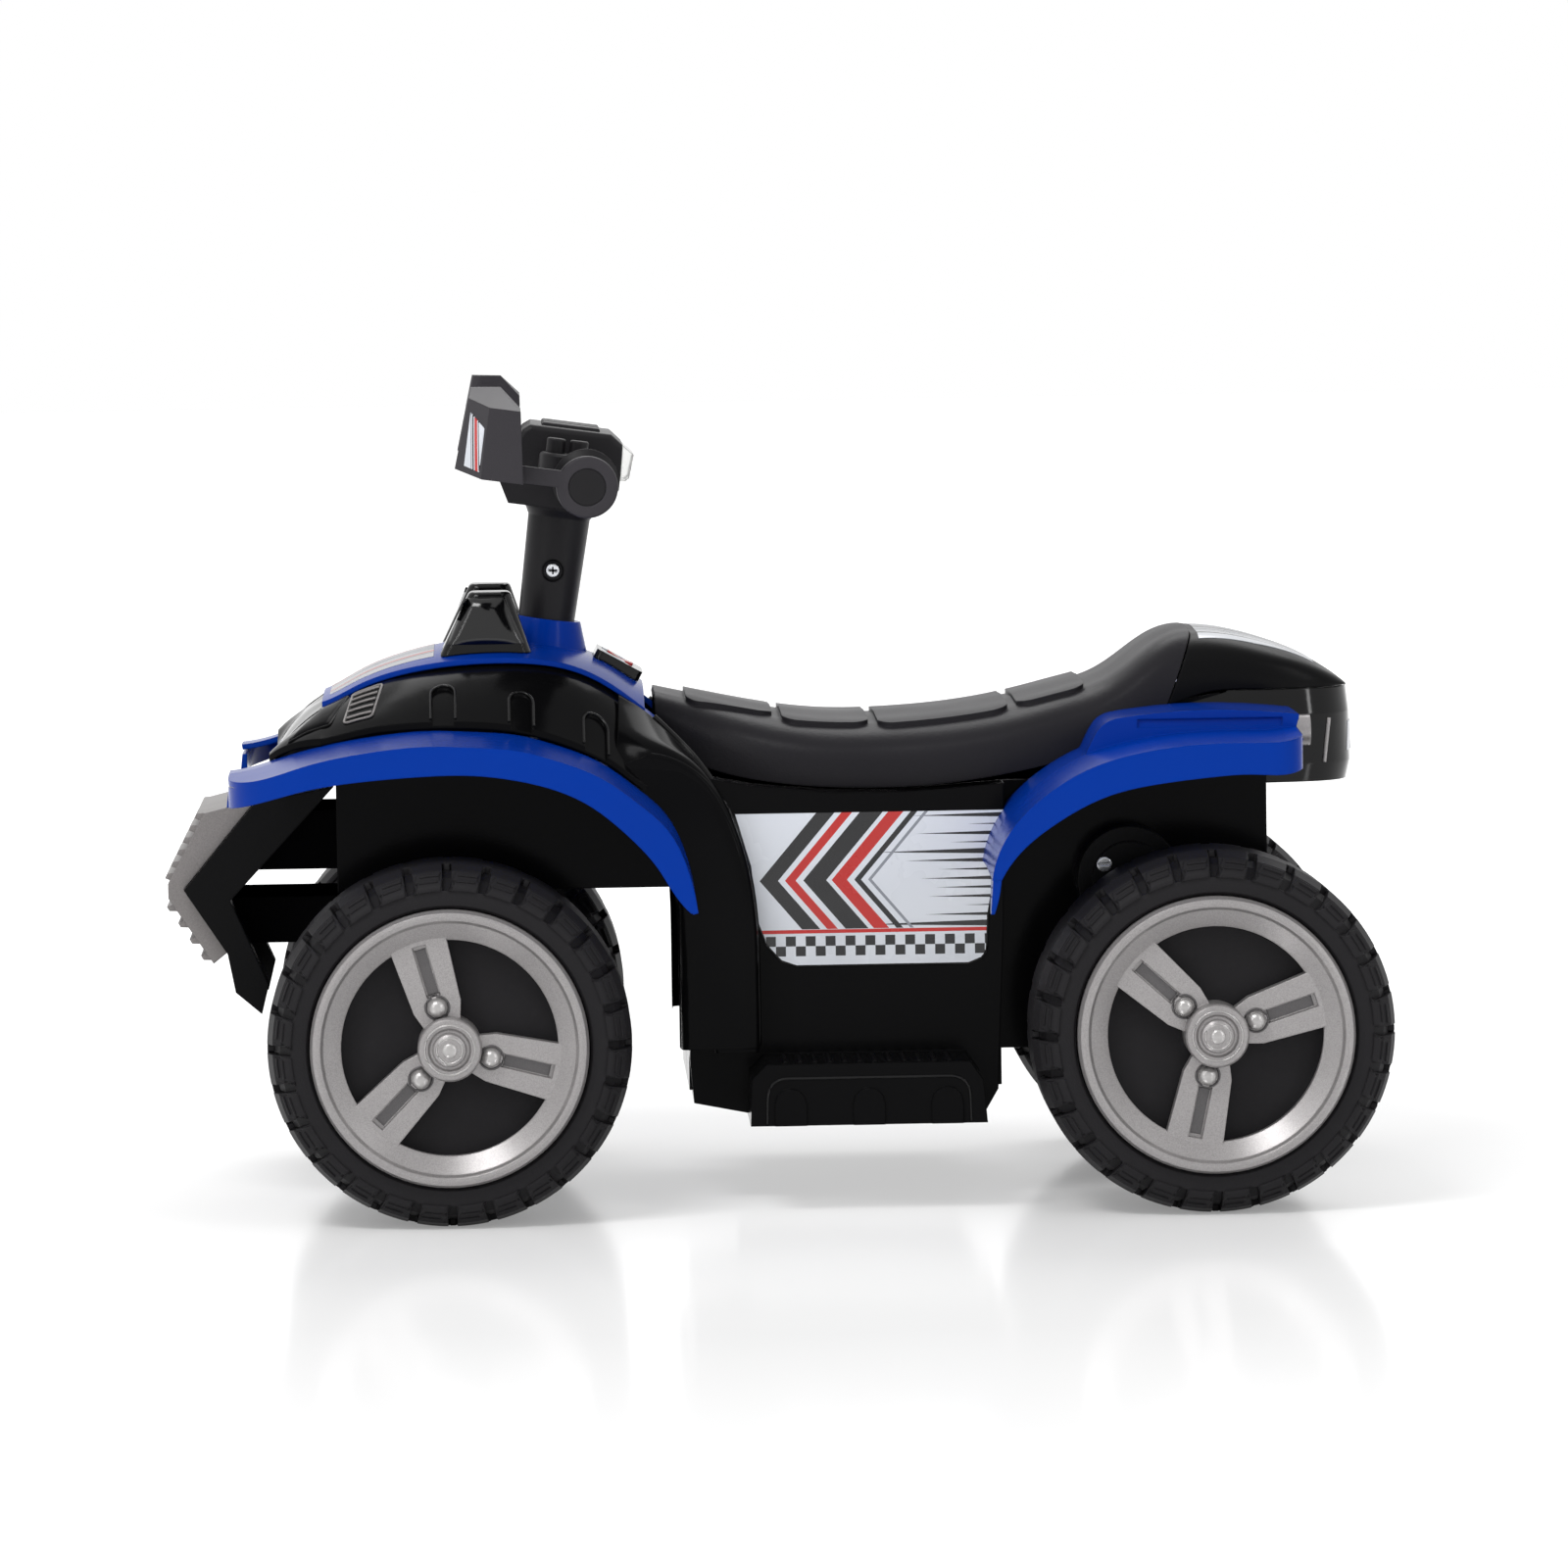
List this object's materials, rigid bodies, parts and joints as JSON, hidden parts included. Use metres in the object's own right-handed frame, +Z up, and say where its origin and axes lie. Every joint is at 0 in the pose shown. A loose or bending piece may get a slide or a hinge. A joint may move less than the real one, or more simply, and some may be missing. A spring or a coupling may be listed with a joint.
{
  "type": "ride-on quad bike",
  "caption": "Toddler ride-on quad bike with moulded blue and black body, long saddle, raked handlebar with hand guards, slotted-spoke wheels, steered front axle and geared rear drive",
  "frame": {"origin": "on the ground below the middle of the bounding box", "axes": "-X points to the front of the bike, +Y to its right, +Z up"},
  "size_m": [0.658, 0.402, 0.4447],
  "materials": {
    "tyre_plastic": "dull black moulded plastic",
    "silver_plastic": "fine metallic silver-grey plastic",
    "blue_plastic": "glossy royal blue plastic",
    "black_matte": "satin charcoal-black plastic",
    "black_gloss": "glossy black plastic",
    "steel": "zinc-plated steel",
    "chrome_screw": "bright plated screws",
    "red_plastic": "red keys",
    "gear_plastic": "natural nylon",
    "grey_plastic": "grey battery case"
  },
  "bodies": {
    "chassis": {"battery": "grey_plastic", "battery_strap": "grey_plastic", "body_tub": "black_matte", "bumper_beams": "black_matte", "bumper_grille": "silver_plastic", "dash_bezel": "black_gloss", "exhaust_tips": "silver_plastic", "front_axle_beam": "black_matte", "front_bumper": "black_matte", "front_cowl": "black_gloss", "front_fender_left": "blue_plastic", "front_fender_right": "blue_plastic", "gearbox_inner_half": "black_gloss", "gearbox_outer_half": "black_gloss", "gearbox_screws": "chrome_screw", "hood_panel": "blue_plastic", "lamp_pods": "black_gloss", "motor": "steel", "rear_axle": "steel", "rear_axle_nuts": "steel", "rear_fender_left": "blue_plastic", "rear_fender_right": "blue_plastic", "seat": "black_matte", "steering_bush": "black_matte", "tail_cover": "black_gloss", "tail_panel": "black_gloss"},
    "steering": {"steering_column": "black_matte", "steering_rod": "steel", "column_screw": "chrome_screw", "bar_lower_shell": "black_matte", "bar_upper_shell": "black_matte", "meter_lens": "silver_plastic", "grip_left": "black_matte", "grip_right": "black_matte", "handguard_left": "blue_plastic", "handguard_right": "blue_plastic"},
    "horn_key": {"horn_button": "red_plastic"},
    "music_key": {"music_button": "red_plastic"},
    "rocker": {"rocker_switch": "red_plastic"},
    "pedal": {"foot_pedal": "black_matte"},
    "left_knuckle": {"knuckle_left": "black_matte", "axle_nut_left": "steel"},
    "right_knuckle": {"knuckle_right": "black_matte", "axle_nut_right": "steel"},
    "track_rod": {"tie_rod": "steel"},
    "front_left_wheel": {"front_left_tyre": "tyre_plastic", "front_left_rim": "silver_plastic", "front_left_hub_cap": "silver_plastic"},
    "front_right_wheel": {"front_right_tyre": "tyre_plastic", "front_right_rim": "silver_plastic", "front_right_hub_cap": "silver_plastic"},
    "rear_left_wheel": {"rear_left_tyre": "tyre_plastic", "rear_left_rim": "silver_plastic", "rear_left_hub_cap": "silver_plastic", "drive_gear": "gear_plastic"},
    "rear_right_wheel": {"rear_right_tyre": "tyre_plastic", "rear_right_rim": "silver_plastic", "rear_right_hub_cap": "silver_plastic"},
    "idler": {"idler_gear": "gear_plastic"},
    "pinion": {"motor_pinion": "gear_plastic"}
  },
  "joints": [
    {"name": "steering_turn", "type": "hinge", "parent": "chassis", "child": "steering", "pos_m": [-0.119, 0, 0.314], "axis": [0.1392, 0, 0.9903], "range_deg": [-20, 20]},
    {"name": "left_knuckle_turn", "type": "hinge", "parent": "chassis", "child": "left_knuckle", "pos_m": [-0.175, -0.1, 0.097], "axis": [0, 0, 1], "range_deg": [-20.5, 20.5]},
    {"name": "right_knuckle_turn", "type": "hinge", "parent": "chassis", "child": "right_knuckle", "pos_m": [-0.175, 0.1, 0.097], "axis": [0, 0, 1], "range_deg": [-20.5, 20.5]},
    {"name": "track_rod_slide", "type": "slide", "parent": "chassis", "child": "track_rod", "axis": [0, 1, 0], "range_m": [-0.0105, 0.0105]},
    {"name": "front_left_spin", "type": "hinge", "parent": "left_knuckle", "child": "front_left_wheel", "pos_m": [-0.175, -0.15, 0.097], "axis": [0, 1, 0], "continuous": true},
    {"name": "front_right_spin", "type": "hinge", "parent": "right_knuckle", "child": "front_right_wheel", "pos_m": [-0.175, 0.15, 0.097], "axis": [0, 1, 0], "continuous": true},
    {"name": "rear_left_spin", "type": "hinge", "parent": "chassis", "child": "rear_left_wheel", "pos_m": [0.232, -0.15, 0.097], "axis": [0, 1, 0], "continuous": true},
    {"name": "rear_right_spin", "type": "hinge", "parent": "chassis", "child": "rear_right_wheel", "pos_m": [0.232, 0.15, 0.097], "axis": [0, 1, 0], "continuous": true},
    {"name": "idler_spin", "type": "hinge", "parent": "chassis", "child": "idler", "pos_m": [0.21119, -0.09, 0.13802], "axis": [0, 1, 0], "continuous": true},
    {"name": "pinion_spin", "type": "hinge", "parent": "chassis", "child": "pinion", "pos_m": [0.19309, -0.09, 0.17369], "axis": [0, 1, 0], "continuous": true},
    {"name": "rocker_tilt", "type": "hinge", "parent": "chassis", "child": "rocker", "pos_m": [-0.08015, 0, 0.2893], "axis": [0, 1, 0], "range_deg": [-8, 8]},
    {"name": "horn_press", "type": "slide", "parent": "steering", "child": "horn_key", "axis": [-0.1392, 0, -0.9903], "range_m": [0, 0.0025], "stiffness_N_per_m": 400, "springref_m": -0.001},
    {"name": "music_press", "type": "slide", "parent": "steering", "child": "music_key", "axis": [-0.1392, 0, -0.9903], "range_m": [0, 0.0025], "stiffness_N_per_m": 400, "springref_m": -0.001},
    {"name": "pedal_press", "type": "hinge", "parent": "chassis", "child": "pedal", "pos_m": [0.086, 0.127, 0.086], "axis": [0, -1, 0], "range_deg": [0, 7], "stiffness_Nm_per_rad": 1, "springref_deg": -5.73}
  ],
  "couplings": [
    {"joint": "left_knuckle_turn", "follows": "steering_turn", "ratio": 1},
    {"joint": "right_knuckle_turn", "follows": "steering_turn", "ratio": 1},
    {"joint": "track_rod_slide", "follows": "steering_turn", "m_per_rad": 0.029395},
    {"joint": "idler_spin", "follows": "rear_left_spin", "ratio": -3.6},
    {"joint": "pinion_spin", "follows": "rear_left_spin", "ratio": 10.8}
  ]
}
